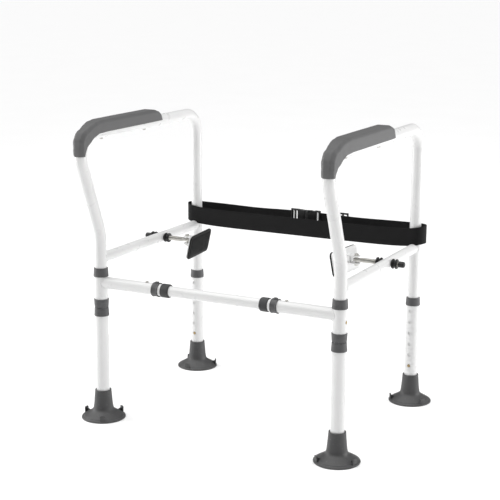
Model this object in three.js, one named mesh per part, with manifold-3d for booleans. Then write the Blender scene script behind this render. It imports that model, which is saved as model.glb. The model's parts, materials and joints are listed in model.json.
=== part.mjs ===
// Free-standing toilet safety frame: two bent arm rails, four telescopic legs with suction feet,
// a telescopic crossbar at the front, two screw clamps for the bowl, and a strap behind it.
// Millimetres, +Z up, +X to the right of someone who faces the frame, +Y towards its rear.

import * as THREE from 'three';
import { mergeVertices } from 'three/addons/utils/BufferGeometryUtils.js';
import Module from 'manifold-3d';

const wasm = await Module();
wasm.setup();

// ---- Driving dimensions ----------------------------------------------------------------------

const LEG_SPACING = 552;        // left leg axis to right leg axis
const LEG_DEPTH = 416;          // front leg axis to rear leg axis
const RUNNING_GAP = 0.3;        // kept between pieces that touch
const WALL = 1.2;               // wall of every steel tube
const ROUND = 16;               // sides of a tube

const ARM = { radius: 12.7, bottomZ: 70, topZ: 622, leanStartZ: 407, leanDegrees: 22.1 };
const ARM_BENDS = { lean: 90, front: 45, rear: 50 };      // centreline radii
const LEG = { radius: 14.3, bottomZ: 12.3, frontTopZ: 243, rearTopZ: 238 };
const HOLE_PITCH = 25.4;
const HOLES = { count: 6, lowestZ: 85, radius: 3.7 };
const SIDE_BAR = { radius: 11.1, z: 354 };

const SLEEVE = { bottomZ: 252.3, topZ: 329.7, buttonZ: 288 };
const CROSSBAR = { z: 302, radius: 11.1, halfLength: 235, pinX: 161.5 };
const STUB = { radius: 12.7, endX: 108.5 };
const LOCK_NUT = { innerX: 105, outerX: 124, radius: 14.5 };
const RING = { innerX: 130, outerX: 144.5, radius: 14.5, endRadius: 15.3, bumpTop: 17 };

const CAP = { mouthRadius: 16.2, lipRadius: 14.9 };
const CAP_LIP = 4;              // length of a cap that closes in on the inner tube
const UPPER_CAP_BOTTOM_Z = 315;
const LOWER_CAP_TOP_Z = 266;
const LEG_CAP_HEIGHT = 18;
const LEG_CAP_RISE = 4;         // a leg cap ends this far above its tube

const GRIP = { halfWidth: 18, bevel: 6, frontY: -80, bottomZ: 580, topZ: 650, rearY: 238 };
const GRIP_WALL = { sideDrop: 1.5, bendDrop: 6 };         // how far its side walls reach past the tube's axis
const GRIP_SCREWS_Y = [10, 180];

const FOOT = { discRadius: 47.5, neckTopZ: 63, rimInner: 40, sides: 20 };
const TAB_TURNS = { left_front: 60, left_rear: 25, right_front: -15, right_rear: 90 };

const CLAMP = { y: 248, rodRadius: 5, pinX: 206.6, capEndX: 316, capStartX: 302, nutLength: 12 };
const PLATE = { length: 110, height: 52, thickness: 2, centreX: 180, drop: 6, yaw: 5.5, tilt: 11.6 };
const PAD_THICKNESS = 4.5;

const STRAP = { bottomZ: 366, topZ: 406, thickness: 2, frontY: 400, rearY: 440, endX: 300 };
const BUCKLE = { halfLength: 37, depth: 10, height: 50 };
const SLIDER = { x: 92, length: 26, depth: 7, height: 50 };

const FRONT_EDGE = GRIP.frontY;
const REAR_EDGE = LEG_DEPTH + FOOT.discRadius;
const MIDDLE_Y = (FRONT_EDGE + REAR_EDGE) / 2;

// ---- Materials -------------------------------------------------------------------------------

const finish = (color, roughness, metalness = 0) =>
  new THREE.MeshStandardMaterial({ color, roughness, metalness });
const whitePaint = finish(0xf4f4f2, 0.25);
const capPlastic = finish(0x505153, 0.55);
const gripPlastic = finish(0x747474, 0.6);
const footRubber = finish(0x58595a, 0.7);
const blackPlastic = finish(0x161616, 0.45);
const padRubber = finish(0x121212, 0.75);
const webbing = finish(0x141415, 0.9);
const brass = finish(0xa98a55, 0.35, 1);
const steel = finish(0xb9b6ae, 0.3, 1);

// ---- Shape helpers ---------------------------------------------------------------------------

const radians = THREE.MathUtils.degToRad;

// A closed geometry as a solid for joining and cutting.
function toSolid(geometry) {
  const bare = geometry.clone();
  bare.deleteAttribute('normal');
  bare.deleteAttribute('uv');
  const merged = mergeVertices(bare, 1e-4);
  return new wasm.Manifold(new wasm.Mesh({
    numProp: 3,
    vertProperties: new Float32Array(merged.attributes.position.array),
    triVerts: new Uint32Array(merged.index.array),
  }));
}

function toGeometry(solid) {
  const mesh = solid.getMesh();
  const geometry = new THREE.BufferGeometry();
  geometry.setAttribute('position', new THREE.BufferAttribute(mesh.vertProperties, 3));
  geometry.setIndex(new THREE.BufferAttribute(mesh.triVerts, 1));
  return geometry;
}

// One shape with others joined on and others cut away.
function cut(base, holes, joined = []) {
  let solid = toSolid(base);
  for (const extra of joined) {
    solid = solid.add(toSolid(extra));
  }
  for (const hole of holes) {
    solid = solid.subtract(toSolid(hole));
  }
  return toGeometry(solid);
}

// A profile of [radius, height] pairs turned about Z.
function turned(profile, sides = ROUND) {
  const points = profile.map(([radius, height]) => new THREE.Vector2(radius, height));
  return new THREE.LatheGeometry(points, sides).rotateX(Math.PI / 2);
}

function ring(innerRadius, outerRadius, low, high, sides = ROUND) {
  return turned([
    [innerRadius, low],
    [outerRadius, low],
    [outerRadius, high],
    [innerRadius, high],
    [innerRadius, low],
  ], sides);
}

function rod(radius, low, high, sides = ROUND) {
  return turned([[0, low], [radius, low], [radius, high], [0, high]], sides);
}

const alongX = (geometry) => geometry.rotateY(Math.PI / 2);
const alongY = (geometry) => geometry.rotateX(-Math.PI / 2);

// A straight-sided shape drawn in the YZ plane and made thick along X, centred on x = 0.
function slab(outline, thickness, bevel = 0) {
  const shape = new THREE.Shape(outline.map(([y, z]) => new THREE.Vector2(y, z)));
  const geometry = new THREE.ExtrudeGeometry(shape, {
    depth: thickness - 2 * bevel,
    bevelEnabled: bevel > 0,
    bevelThickness: bevel,
    bevelSize: bevel,
    bevelOffset: -bevel,
    bevelSegments: 2,
  });
  geometry.translate(0, 0, bevel - thickness / 2);
  // shape x, y, depth become Y, Z, X
  return geometry.applyMatrix4(new THREE.Matrix4().set(0, 0, 1, 0, 1, 0, 0, 0, 0, 1, 0, 0, 0, 0, 0, 1));
}

function box(sizeX, sizeY, sizeZ, x = 0, y = 0, z = 0) {
  return new THREE.BoxGeometry(sizeX, sizeY, sizeZ).translate(x, y, z);
}

// A run of stations with a place and a direction each, so that bends get many and straights none.
class Route extends THREE.Curve {
  constructor(stations) {
    super();
    this.stations = stations;
  }

  station(u) {
    return this.stations[Math.round(u * (this.stations.length - 1))];
  }

  getPoint(u, target = new THREE.Vector3()) {
    return target.copy(this.station(u).at);
  }

  getPointAt(u, target) {
    return this.getPoint(u, target);
  }

  getTangentAt(u, target = new THREE.Vector3()) {
    return target.copy(this.station(u).along);
  }
}

// A route through corners, each rounded to its own centreline radius.
function bentRoute(corners, degreesPerStep = 11.25) {
  const points = corners.map(({ y, z }) => new THREE.Vector3(0, y, z));
  const heading = (i) => points[i + 1].clone().sub(points[i]).normalize();
  const stations = [{ at: points[0], along: heading(0) }];
  for (let i = 1; i < points.length - 1; i += 1) {
    const before = heading(i - 1);
    const after = heading(i);
    const turn = before.angleTo(after);
    const axis = before.clone().cross(after).normalize();
    const { radius } = corners[i];
    const start = points[i].clone().addScaledVector(before, -radius * Math.tan(turn / 2));
    const centre = start.clone().addScaledVector(axis.clone().cross(before), radius);
    const spoke = start.clone().sub(centre);
    const steps = Math.ceil(turn / radians(degreesPerStep));
    for (let k = 0; k <= steps; k += 1) {
      const angle = (turn * k) / steps;
      stations.push({
        at: spoke.clone().applyAxisAngle(axis, angle).add(centre),
        along: before.clone().applyAxisAngle(axis, angle),
      });
    }
  }
  stations.push({ at: points.at(-1), along: heading(points.length - 2) });
  return new Route(stations);
}

function circle(radius, sides = ROUND) {
  return Array.from({ length: sides }, (_, i) => {
    const angle = (2 * Math.PI * i) / sides;
    return new THREE.Vector2(radius * Math.cos(angle), radius * Math.sin(angle));
  });
}

function tubeAlong(route, outerRadius, innerRadius = 0) {
  const section = new THREE.Shape(circle(outerRadius));
  if (innerRadius > 0) {
    section.holes.push(new THREE.Path(circle(innerRadius)));
  }
  return new THREE.ExtrudeGeometry(section, { steps: route.stations.length - 1, extrudePath: route });
}

function piece(parent, name, geometry, material) {
  const mesh = new THREE.Mesh(geometry, material);
  mesh.name = name;
  parent.add(mesh);
  return mesh;
}

function groupAt(parent, x, y, z, turnZ = 0) {
  const group = new THREE.Group();
  group.position.set(x, y, z);
  group.rotation.z = turnZ;
  parent.add(group);
  return group;
}

// ---- Arm rail: one tube from the front leg, forward and over, and down into the rear leg ------

const leanSlope = Math.tan(radians(ARM.leanDegrees));
const armRoute = bentRoute([
  { y: 0, z: ARM.bottomZ },
  { y: 0, z: ARM.leanStartZ, radius: ARM_BENDS.lean },
  { y: -(ARM.topZ - ARM.leanStartZ) * leanSlope, z: ARM.topZ, radius: ARM_BENDS.front },
  { y: LEG_DEPTH, z: ARM.topZ, radius: ARM_BENDS.rear },
  { y: LEG_DEPTH, z: ARM.bottomZ },
]);
const SCREW = { shaftRadius: 2.2, headRadius: 4.2, headHeight: 2.4, tipZ: 645 };
const screwHoleRadius = SCREW.shaftRadius + 0.4;

// A hole of the snap buttons, from inside a tube out to past the widest sleeve.
const buttonHole = () => rod(HOLES.radius, 5, LEG.radius + 3, 8);

function armTube(outward) {
  const holes = [
    alongY(buttonHole()).translate(0, 0, HOLES.lowestZ),
    alongY(buttonHole()).rotateZ(Math.PI).translate(0, LEG_DEPTH, HOLES.lowestZ),
    alongX(buttonHole()).rotateZ(outward > 0 ? 0 : Math.PI).translate(0, 0, SLEEVE.buttonZ),
    ...GRIP_SCREWS_Y.map((y) => rod(screwHoleRadius, ARM.topZ - 20, ARM.topZ + 20, 8).translate(0, y, 0)),
  ];
  return cut(tubeAlong(armRoute, ARM.radius, ARM.radius - WALL), holes);
}

// ---- Side bar: welded between the two uprights, drilled for the clamp rod ----------------------

function sideBar() {
  const coped = ARM.radius + RUNNING_GAP;
  const upright = (y) => rod(coped, SIDE_BAR.z - 20, SIDE_BAR.z + 20).translate(0, y, 0);
  const rodHole = alongX(rod(CLAMP.rodRadius + 0.4, -20, 20, 12)).translate(0, CLAMP.y, SIDE_BAR.z);
  const bar = alongY(ring(SIDE_BAR.radius - WALL, SIDE_BAR.radius, 4, LEG_DEPTH - 4));
  return cut(bar.translate(0, 0, SIDE_BAR.z), [upright(0), upright(LEG_DEPTH), rodHole]);
}

// ---- Grip: a moulded saddle over the front bend and the armrest --------------------------------

function grip() {
  const { frontY, bottomZ, topZ, rearY, bevel, halfWidth } = GRIP;
  const { sideDrop, bendDrop } = GRIP_WALL;
  const outline = [
    [frontY, bottomZ],
    [frontY, 618],
    [frontY + 13, 630],
    [frontY + 30, 635.5],
    [frontY + 57, topZ - 3],
    [frontY + 77, topZ],
    [rearY - 36, topZ],
    [rearY - 14, topZ - 6],
    [rearY, ARM.topZ],
    [rearY, ARM.topZ - sideDrop - 2 * bevel],
    [-22, ARM.topZ - sideDrop - 2 * bevel],
    [-40, bottomZ],
  ];
  // everything inside the line that the side walls end on
  const centreZ = ARM.topZ - ARM_BENDS.front;
  const frontBend = armRoute.stations.filter(({ at }) => at.z > centreZ - 12 && at.y < 0);
  const bendCentre = { y: frontBend.at(-1).at.y, z: centreZ };
  const inset = (ARM_BENDS.front - bendDrop) / ARM_BENDS.front;
  const wallEnd = frontBend.map(({ at }) => [
    bendCentre.y + (at.y - bendCentre.y) * inset,
    bendCentre.z + (at.z - bendCentre.z) * inset,
  ]);
  const below = [...wallEnd, [rearY + 20, ARM.topZ - sideDrop], [rearY + 20, 540], [wallEnd[0][0], 540]];
  const bore = tubeAlong(armRoute, ARM.radius + 0.4);
  const pilot = (y) => rod(screwHoleRadius, ARM.topZ, SCREW.tipZ + 0.5, 8).translate(0, y, 0);
  const holes = [slab(below.reverse(), 80), bore, ...GRIP_SCREWS_Y.map(pilot)];
  return cut(slab(outline, 2 * halfWidth, bevel), holes);
}

function gripScrew() {
  const under = ARM.topZ - ARM.radius - RUNNING_GAP;
  return turned([
    [0, under - SCREW.headHeight],
    [SCREW.headRadius - 1.2, under - SCREW.headHeight],
    [SCREW.headRadius, under - 0.8],
    [SCREW.headRadius, under],
    [SCREW.shaftRadius, under],
    [SCREW.shaftRadius, SCREW.tipZ],
    [0, SCREW.tipZ],
  ], 8);
}

// ---- Caps: push-on plastic rings that end a tube and steady the one inside it ------------------

// A cap tapers from its mouth, on the larger tube, to the lip that closes in on the inner one.
function tubeCap(bottomZ, topZ, lipAtTop) {
  const wide = LEG.radius + RUNNING_GAP;
  const narrow = ARM.radius + RUNNING_GAP;
  const chamfer = 0.8;
  const profile = [
    [wide, bottomZ],
    [CAP.mouthRadius - chamfer, bottomZ],
    [CAP.mouthRadius, bottomZ + chamfer],
    [CAP.lipRadius, topZ - chamfer],
    [CAP.lipRadius - chamfer, topZ],
    [narrow, topZ],
    [narrow, topZ - CAP_LIP],
    [wide, topZ - CAP_LIP],
    [wide, bottomZ],
  ];
  if (lipAtTop) {
    return turned(profile);
  }
  const flipped = profile.map(([radius, z]) => [radius, bottomZ + topZ - z]);
  return turned(flipped.reverse());
}

// ---- Tee: sleeve on the front upright with the crossbar stub welded to it ----------------------
// Drawn with the stub towards -X and turned to face inward on each side.

const inwardLength = (x) => LEG_SPACING / 2 - x;

// The hole that the pull pin drops through, from a tube's axis up through its wall.
const PIN_HOLE_RADIUS = 2.9;
const pinOpening = () => rod(PIN_HOLE_RADIUS, 0, 20, 8);

function tee() {
  const { bottomZ, topZ, buttonZ } = SLEEVE;
  const stub = alongX(rod(STUB.radius, -inwardLength(STUB.endX), 0)).translate(0, 0, CROSSBAR.z);
  const boreRadius = STUB.radius - WALL;
  const stubBore = alongX(rod(boreRadius, -inwardLength(STUB.endX) - 5, 0)).translate(0, 0, CROSSBAR.z);
  const sleeveBore = rod(LEG.radius - WALL, bottomZ - 5, topZ + 5);
  const pinHole = pinOpening().translate(-inwardLength(CROSSBAR.pinX), 0, CROSSBAR.z);
  const buttonOpening = alongX(buttonHole()).translate(0, 0, buttonZ);
  return cut(rod(LEG.radius, bottomZ, topZ), [sleeveBore, stubBore, pinHole, buttonOpening], [stub]);
}

// A ring on the stub that flares a little at both ends, with a thumb bump on top.
function ringCollar() {
  const { innerX, outerX, radius, endRadius, bumpTop } = RING;
  const length = outerX - innerX;
  const bore = STUB.radius + RUNNING_GAP;
  const flare = 2.5;
  const band = turned([
    [bore, 0],
    [endRadius, 0],
    [radius, flare],
    [radius, length - flare],
    [endRadius, length],
    [bore, length],
    [bore, 0],
  ]);
  const bumpLow = bore + 0.5;
  const bump = box(9, 8, bumpTop - bumpLow, length / 2, 0, (bumpTop + bumpLow) / 2);
  return cut(alongX(band), [], [bump]);
}

function lockNut() {
  const { innerX, outerX, radius } = LOCK_NUT;
  const length = outerX - innerX;
  const lip = STUB.endX - innerX - RUNNING_GAP;
  return alongX(turned([
    [CROSSBAR.radius + RUNNING_GAP, 0],
    [radius - 1.5, 0],
    [radius, 1.5],
    [radius, length - 1],
    [radius - 1, length],
    [STUB.radius + RUNNING_GAP, length],
    [STUB.radius + RUNNING_GAP, lip],
    [CROSSBAR.radius + RUNNING_GAP, lip],
    [CROSSBAR.radius + RUNNING_GAP, 0],
  ]));
}

// The sprung pull pin stands through the stub into one hole of the crossbar tube.
function pullPin() {
  const top = STUB.radius + RUNNING_GAP;
  return turned([
    [0, 7.5],
    [2.4, 7.5],
    [2.4, top],
    [3.6, top],
    [3.6, top + 1.2],
    [2.6, top + 2.2],
    [0, top + 2.2],
  ], 8);
}

// ---- Crossbar: the middle tube that slides in both stubs ---------------------------------------

function crossbarTube() {
  const { radius, halfLength, pinX } = CROSSBAR;
  const holes = [];
  for (const side of [-1, 1]) {
    for (let step = -1; step <= 2; step += 1) {
      holes.push(pinOpening().translate(side * (pinX + step * HOLE_PITCH), 0, 0));
    }
  }
  return cut(alongX(ring(radius - WALL, radius, -halfLength, halfLength)), holes);
}

// ---- Snap button: a domed pin on a leaf spring inside the tube, drawn pointing along +X --------

function snapButton() {
  const dome = alongX(turned([[0, 5], [3.2, 5], [3.2, 14], [2.2, 15.1], [0, 15.1]], 8));
  const leaf = box(1, 6, 26, 5.5, 0, 6);
  return cut(dome, [], [leaf]);
}

// ---- Leg and foot ------------------------------------------------------------------------------

function legTube(topZ, turn) {
  const holes = [];
  for (let i = 0; i < HOLES.count; i += 1) {
    holes.push(alongX(buttonHole()).rotateZ(turn).translate(0, 0, HOLES.lowestZ + i * HOLE_PITCH));
  }
  return cut(ring(LEG.radius - WALL, LEG.radius, LEG.bottomZ, topZ), holes);
}

// A suction foot: neck, cone and thin rim, hollow beneath, with three release tabs.
function foot(turnDegrees) {
  const { discRadius, neckTopZ, rimInner, sides } = FOOT;
  const bore = LEG.radius + RUNNING_GAP;
  const floor = LEG.bottomZ - RUNNING_GAP;
  const body = turned([
    [0, 4.5],
    [rimInner - 4, 3],
    [rimInner, 0],
    [discRadius, 0],
    [discRadius, 2.5],
    [discRadius - 2, 5.5],
    [30, 14],
    [23, 19],
    [21, 25],
    [17.5, neckTopZ],
    [bore, neckTopZ],
    [bore, floor],
    [0, floor],
  ], sides);
  const tabs = [0, 120, 240].map((angle) => {
    const tab = slab([[33, 8], [46, 4], [46.5, 16.5], [43.5, 16.5]], 12);
    return tab.rotateZ(radians(angle + turnDegrees));
  });
  return cut(body, [], tabs);
}

// ---- Bowl clamp: drawn with +X outward, from the side bar's centre ------------------------------

const fromBar = (x) => x - LEG_SPACING / 2;

// A threaded rod with a drilled, flattened end for the pivot bolt.
function clampRod() {
  const start = fromBar(CLAMP.pinX) - 6;
  const eye = alongX(rod(CLAMP.rodRadius, start, fromBar(CLAMP.capEndX) - 3.5, 12));
  const pinHole = rod(3, -10, 10, 8).translate(fromBar(CLAMP.pinX), 0, 0);
  const above = box(18, 20, 4, start + 8, 0, 5.4);
  const beneath = box(18, 20, 4, start + 8, 0, -5.4);
  return cut(eye, [pinHole, above, beneath]);
}

// A hand nut with a flange at each end and a waist between them.
function handNut() {
  const bore = CLAMP.rodRadius + RUNNING_GAP;
  const length = CLAMP.nutLength;
  return alongX(turned([
    [bore, 0],
    [10, 0],
    [10.5, 3.5],
    [6.8, 5],
    [6.8, 7],
    [10.5, 8.5],
    [10, length],
    [bore, length],
    [bore, 0],
  ], 12));
}

function rodCap() {
  const bore = CLAMP.rodRadius + RUNNING_GAP;
  const length = CLAMP.capEndX - CLAMP.capStartX;
  return alongX(turned([
    [bore, 0],
    [bore + 1.2, 0],
    [bore + 1.2, length - 2.5],
    [bore - 1, length],
    [0, length],
    [0, length - 3],
    [bore, length - 3],
    [bore, 0],
  ], 12));
}

function roundedRectangle(length, height, radius) {
  const outline = [];
  const corners = [[1, 1, 0], [-1, 1, 90], [-1, -1, 180], [1, -1, 270]];
  for (const [signY, signZ, from] of corners) {
    for (const angle of [from, from + 30, from + 60, from + 90]) {
      outline.push([
        signY * (length / 2 - radius) + radius * Math.cos(radians(angle)),
        signZ * (height / 2 - radius) + radius * Math.sin(radians(angle)),
      ]);
    }
  }
  return outline;
}

const BRACKET = { halfHeight: 9, width: 18, metal: 2 };

// The pressed plate leans with the bowl; its channel bracket stays square to the pivot bolt.
function clampPlate() {
  const { length, height, thickness, centreX, drop, tilt } = PLATE;
  const { halfHeight, width, metal } = BRACKET;
  const offset = centreX - CLAMP.pinX;
  const plate = slab(roundedRectangle(length, height, 9), thickness);
  plate.rotateY(radians(-tilt)).translate(offset, 0, -drop);
  const reach = 8 - offset;
  const flange = (sign) => box(reach, width, metal, 8 - reach / 2, 0, sign * (halfHeight - metal / 2));
  const web = box(metal, width, 2 * halfHeight, -13, 0, 0);
  const boltHole = rod(3, -20, 20, 8);
  const beyondPlate = slab([[-60, -60], [60, -60], [60, 60], [-60, 60]], 20);
  beyondPlate.rotateY(radians(-tilt)).translate(offset - 10.2, 0, -drop);
  const bracket = cut(flange(1), [boltHole, beyondPlate], [flange(-1), web]);
  return cut(plate, [], [bracket]);
}

function clampPad() {
  const { length, height, thickness, centreX, drop, tilt } = PLATE;
  const pad = slab(roundedRectangle(length + 2, height + 2, 10), PAD_THICKNESS);
  pad.translate(-(thickness + PAD_THICKNESS) / 2 - RUNNING_GAP, 0, 0);
  return pad.rotateY(radians(-tilt)).translate(centreX - CLAMP.pinX, 0, -drop);
}

// The pivot bolt: head above the bracket, nut run on beneath it.
function pivotBolt() {
  const face = BRACKET.halfHeight + RUNNING_GAP;
  return turned([
    [0, -face - 4],
    [5, -face - 4],
    [5, -face],
    [2.6, -face],
    [2.6, face],
    [5, face],
    [5, face + 2.6],
    [3.4, face + 3.4],
    [0, face + 3.4],
  ], 6);
}

// ---- Strap: a band round both rear uprights, closed by a side-release buckle --------------------

function strapOutline(inset) {
  const { frontY, rearY, endX } = STRAP;
  const radius = (rearY - frontY) / 2 - inset;
  const middle = (rearY + frontY) / 2;
  const centreX = endX - (rearY - frontY) / 2;
  const points = [];
  for (let i = 0; i <= 8; i += 1) {
    const angle = radians(-90 + (180 * i) / 8);
    points.push(new THREE.Vector2(centreX + radius * Math.cos(angle), middle + radius * Math.sin(angle)));
  }
  return [...points, ...points.map((point) => new THREE.Vector2(-point.x, 2 * middle - point.y))];
}

function strapBand() {
  const height = STRAP.topZ - STRAP.bottomZ;
  const shape = new THREE.Shape(strapOutline(0));
  shape.holes.push(new THREE.Path(strapOutline(STRAP.thickness)));
  const loop = new THREE.ExtrudeGeometry(shape, { depth: height, bevelEnabled: false });
  const opening = 2 * (BUCKLE.halfLength + RUNNING_GAP);
  return cut(loop.translate(0, 0, STRAP.bottomZ), [box(opening, 10, 60, 0, STRAP.rearY, 386)]);
}

const strapMiddle = { y: STRAP.rearY - STRAP.thickness / 2, z: (STRAP.bottomZ + STRAP.topZ) / 2 };

// The socket half, open towards -X, where the tongue half goes in.
function buckleSocket() {
  const { halfLength, depth, height } = BUCKLE;
  const shell = box(halfLength, depth, height, halfLength / 2 + 0.2, 0, 0);
  const mouth = box(26, 5, height - 8, 12, 0, 0);
  return cut(shell, [mouth]);
}

// The tongue half, with two prongs that go into the socket.
function buckleTongue() {
  const { halfLength, depth, height } = BUCKLE;
  const base = box(halfLength, depth, height, -halfLength / 2 - 0.2, 0, 0);
  const prong = (sign) => box(30, 4, 9, 7, 0, sign * 12);
  return cut(base, [], [prong(-1), prong(1)]);
}

function slider() {
  const { length, depth, height } = SLIDER;
  const slot = box(length + 4, STRAP.thickness + 0.8, STRAP.topZ - STRAP.bottomZ + 0.8);
  return cut(box(length, depth, height), [slot]);
}

// ---- Assembly ----------------------------------------------------------------------------------

const frame = new THREE.Group();
const design = groupAt(frame, 0, -MIDDLE_Y, 0);

for (const [side, outward] of [['left', -1], ['right', 1]]) {
  const rail = groupAt(design, (outward * LEG_SPACING) / 2, 0, 0);
  const inwardTurn = outward > 0 ? 0 : Math.PI;
  piece(rail, `${side}_arm_tube`, armTube(outward), whitePaint);
  piece(rail, `${side}_side_bar`, sideBar(), whitePaint);
  piece(rail, `${side}_grip`, grip(), gripPlastic);
  GRIP_SCREWS_Y.forEach((y, i) => {
    piece(rail, `${side}_grip_screw_${['front', 'rear'][i]}`, gripScrew(), steel).position.y = y;
  });

  const facing = groupAt(rail, 0, 0, 0, inwardTurn);
  piece(facing, `${side}_tee`, tee(), whitePaint);
  const upperCapTop = SLEEVE.topZ + RUNNING_GAP + CAP_LIP;
  const lowerCapBottom = SLEEVE.bottomZ - RUNNING_GAP - CAP_LIP;
  piece(facing, `${side}_tee_upper_cap`, tubeCap(UPPER_CAP_BOTTOM_Z, upperCapTop, true), capPlastic);
  piece(facing, `${side}_tee_lower_cap`, tubeCap(lowerCapBottom, LOWER_CAP_TOP_Z, false), capPlastic);
  piece(facing, `${side}_tee_button`, snapButton(), brass).position.z = SLEEVE.buttonZ;

  const nut = piece(facing, `${side}_lock_nut`, lockNut(), capPlastic);
  nut.position.set(-inwardLength(LOCK_NUT.innerX), 0, CROSSBAR.z);
  const collarStart = outward > 0 ? RING.innerX : -RING.outerX;
  piece(design, `${side}_ring_collar`, ringCollar(), capPlastic).position.set(collarStart, 0, CROSSBAR.z);
  const pin = piece(facing, `${side}_pull_pin`, pullPin(), steel);
  pin.position.set(-inwardLength(CROSSBAR.pinX), 0, CROSSBAR.z);

  for (const [end, y, topZ, holeTurn] of [
    ['front', 0, LEG.frontTopZ, Math.PI / 2],
    ['rear', LEG_DEPTH, LEG.rearTopZ, -Math.PI / 2],
  ]) {
    const name = `${side}_${end}`;
    const leg = groupAt(rail, 0, y, 0);
    piece(leg, `${name}_leg_tube`, legTube(topZ, holeTurn), whitePaint);
    const capTop = topZ + LEG_CAP_RISE;
    const legCap = tubeCap(capTop - LEG_CAP_HEIGHT, capTop + RUNNING_GAP, true);
    piece(leg, `${name}_leg_cap`, legCap, capPlastic);
    piece(leg, `${name}_foot`, foot(TAB_TURNS[name]), footRubber);
    const button = piece(leg, `${name}_leg_button`, snapButton(), brass);
    button.position.z = HOLES.lowestZ;
    button.rotation.z = holeTurn;
  }

  const clamp = groupAt(rail, 0, CLAMP.y, SIDE_BAR.z, inwardTurn);
  piece(clamp, `${side}_clamp_rod`, clampRod(), steel);
  const nutGap = SIDE_BAR.radius + RUNNING_GAP;
  piece(clamp, `${side}_outer_hand_nut`, handNut(), blackPlastic).position.x = nutGap;
  piece(clamp, `${side}_inner_hand_nut`, handNut(), blackPlastic).position.x = -nutGap - CLAMP.nutLength;
  piece(clamp, `${side}_rod_cap`, rodCap(), blackPlastic).position.x = fromBar(CLAMP.capStartX);
  const pivot = groupAt(clamp, fromBar(CLAMP.pinX), 0, 0, radians(-outward * PLATE.yaw));
  piece(pivot, `${side}_clamp_plate`, clampPlate(), whitePaint);
  piece(pivot, `${side}_clamp_pad`, clampPad(), padRubber);
  piece(pivot, `${side}_pivot_bolt`, pivotBolt(), steel);
}

piece(design, 'crossbar_tube', crossbarTube(), whitePaint).position.z = CROSSBAR.z;
piece(design, 'strap', strapBand(), webbing);
const onStrap = groupAt(design, 0, strapMiddle.y, strapMiddle.z);
piece(onStrap, 'buckle_socket', buckleSocket(), blackPlastic);
piece(onStrap, 'buckle_tongue', buckleTongue(), blackPlastic);
piece(onStrap, 'strap_slider', slider(), blackPlastic).position.x = SLIDER.x;

export default frame;
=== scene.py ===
import json
from math import asin, ceil, cos, exp, pi, radians, sin, sqrt, tan

import bmesh
import bpy
from mathutils import Matrix, Vector

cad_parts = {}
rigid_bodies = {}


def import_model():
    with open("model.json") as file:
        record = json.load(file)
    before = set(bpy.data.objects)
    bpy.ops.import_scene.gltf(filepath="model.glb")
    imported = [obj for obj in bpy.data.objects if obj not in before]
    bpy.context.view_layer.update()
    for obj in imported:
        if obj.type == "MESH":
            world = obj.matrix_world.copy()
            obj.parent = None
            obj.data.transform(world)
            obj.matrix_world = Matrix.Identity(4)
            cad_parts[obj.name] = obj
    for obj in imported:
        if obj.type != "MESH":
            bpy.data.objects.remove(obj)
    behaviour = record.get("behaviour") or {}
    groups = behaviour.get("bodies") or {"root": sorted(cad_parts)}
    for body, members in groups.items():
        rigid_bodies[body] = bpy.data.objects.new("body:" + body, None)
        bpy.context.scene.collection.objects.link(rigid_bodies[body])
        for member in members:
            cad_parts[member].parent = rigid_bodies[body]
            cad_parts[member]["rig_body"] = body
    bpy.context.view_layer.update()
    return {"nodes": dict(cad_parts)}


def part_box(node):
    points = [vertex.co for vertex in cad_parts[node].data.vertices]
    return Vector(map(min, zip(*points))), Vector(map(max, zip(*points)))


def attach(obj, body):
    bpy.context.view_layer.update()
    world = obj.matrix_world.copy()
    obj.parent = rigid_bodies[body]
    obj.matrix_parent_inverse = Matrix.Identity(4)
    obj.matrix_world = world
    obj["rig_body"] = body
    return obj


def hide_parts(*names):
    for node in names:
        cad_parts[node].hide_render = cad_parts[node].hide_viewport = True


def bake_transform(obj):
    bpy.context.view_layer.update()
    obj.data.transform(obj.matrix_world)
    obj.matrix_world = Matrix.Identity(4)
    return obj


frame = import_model()

MM = 0.001
SIDES = (("left", -1), ("right", 1))
ENDS = (("front", 1), ("rear", -1))

# ---- Studio --------------------------------------------------------------------------------
# A white seamless floor under a broad overhead light, with a tall soft box on each side of the
# frame, in a white room, seen with a long lens from the right and a little above.


def add_object(name, data):
    """A new object in the scene that shows a mesh, a lamp or a camera."""
    item = bpy.data.objects.new(name, data)
    bpy.context.scene.collection.objects.link(item)
    return item


lens = bpy.data.cameras.new("camera")
lens.sensor_width = 36
lens.lens = 93.62
lens.clip_start, lens.clip_end = 0.05, 400
camera = add_object("camera", lens)
bpy.context.scene.camera = camera
azimuth, elevation, roll = radians(27.026), radians(12.636), radians(0.348)
line_of_sight = Vector((-sin(azimuth) * cos(elevation), cos(azimuth) * cos(elevation), -sin(elevation)))
camera.location = (1.22696, -2.44168, 0.97596)
aim = line_of_sight.to_track_quat("-Z", "Y").to_matrix() @ Matrix.Rotation(roll, 3, "Z")
camera.rotation_euler = aim.to_euler()

bpy.context.scene.view_settings.view_transform = "Standard"


def soft_box(name, place, target, width, height, watts):
    lamp = bpy.data.lights.new(name, "AREA")
    lamp.shape = "RECTANGLE"
    lamp.size, lamp.size_y = width, height
    lamp.energy = watts
    box = add_object(name, lamp)
    box.location = place
    box.rotation_euler = (Vector(target) - Vector(place)).to_track_quat("-Z", "Y").to_euler()


middle_height = (0, 0, 0.35)
soft_box("left_soft_box", (-2.6, -0.5, 0.9), middle_height, 1.4, 2.4, 46)
soft_box("right_soft_box", (2.5, 1.3, 0.9), middle_height, 1.4, 2.4, 54)

overhead = bpy.data.lights.new("overhead", "SUN")
overhead.energy = 2.7
overhead.angle = radians(70)
add_object("overhead", overhead).rotation_euler = (radians(6), radians(-8), 0)

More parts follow.
